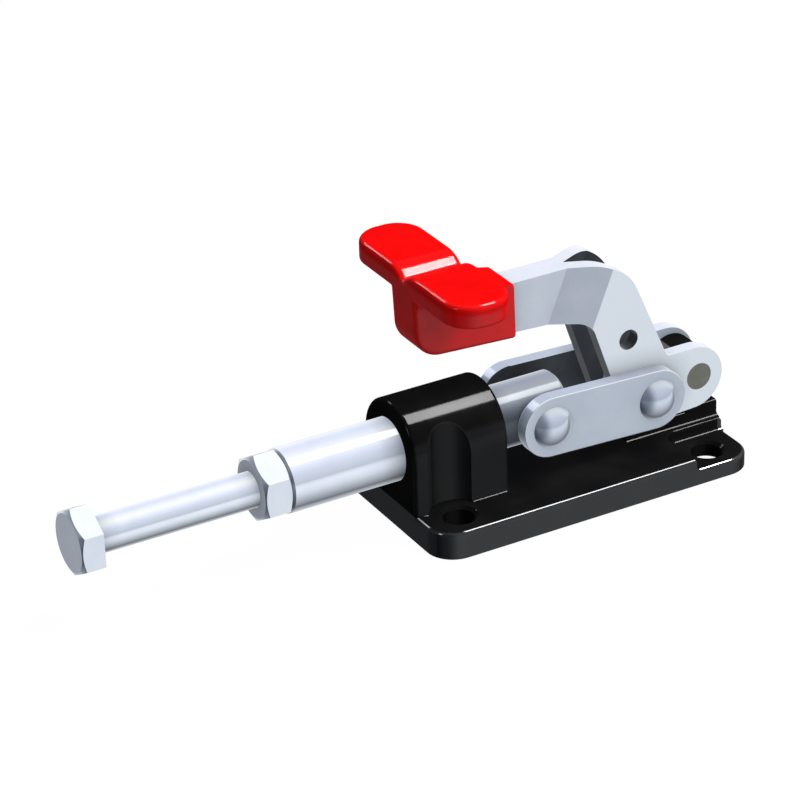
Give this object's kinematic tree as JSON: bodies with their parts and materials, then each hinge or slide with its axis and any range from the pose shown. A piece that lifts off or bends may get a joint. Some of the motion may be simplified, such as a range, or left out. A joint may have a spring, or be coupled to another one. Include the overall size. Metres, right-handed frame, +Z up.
{
  "type": "toggle clamp",
  "caption": "Push-pull toggle clamp: a cranked handle drives a plunger with an adjustable hexagon-head spindle through the guide barrel of a bolt-down base.",
  "frame": {"origin": "centre of the four mounting holes, on the underside of the base", "axes": "+X is the push direction of the spindle, +Y is to the left of it, +Z is up, away from the mounting surface"},
  "size_m": [0.1961, 0.0586, 0.0742],
  "materials": {
    "black_casting": "gloss black paint",
    "zinc_steel": "bright zinc plate",
    "pin_steel": "oiled bare steel",
    "red_grip": "glossy dipped plastic"
  },
  "bodies": {
    "base": {"base_casting": "black_casting", "pivot_bush": "pin_steel"},
    "handle": {"handle_plate_left": "zinc_steel", "handle_plate_right": "zinc_steel", "grip": "red_grip", "handle_rivet_front": "pin_steel", "handle_rivet_rear": "pin_steel", "pivot_pin": "pin_steel", "link_pin": "pin_steel", "link_spacer": "zinc_steel"},
    "plunger": {"plunger": "zinc_steel"},
    "links": {"link_left": "zinc_steel", "link_right": "zinc_steel", "plunger_rivet": "zinc_steel", "link_rivet_head_left": "zinc_steel", "link_rivet_head_right": "zinc_steel"},
    "spindle": {"spindle_bolt": "zinc_steel"},
    "nut": {"jam_nut": "zinc_steel"}
  },
  "joints": [
    {"name": "handle_swing", "type": "hinge", "parent": "base", "child": "handle", "pos_m": [-0.0434, 0, 0.0225], "axis": [0, -1, 0], "range_deg": [0, 150]},
    {"name": "plunger_slide", "type": "slide", "parent": "base", "child": "plunger", "axis": [-1, 0, 0], "range_m": [0, 0.0311]},
    {"name": "link_swing", "type": "hinge", "parent": "plunger", "child": "links", "pos_m": [0.00699, 0, 0.0227], "axis": [0, 1, 0], "range_deg": [0, 17.2]},
    {"name": "spindle_adjust", "type": "slide", "parent": "plunger", "child": "spindle", "axis": [1, 0, 0], "range_m": [-0.034, 0.012]},
    {"name": "nut_turn", "type": "hinge", "parent": "plunger", "child": "nut", "pos_m": [0.0882, 0, 0.0227], "axis": [1, 0, 0], "continuous": true}
  ],
  "couplings": [
    {"joint": "plunger_slide", "follows": "handle_swing", "m_per_rad": 0.011868},
    {"joint": "link_swing", "follows": "handle_swing", "ratio": 0.1146}
  ]
}
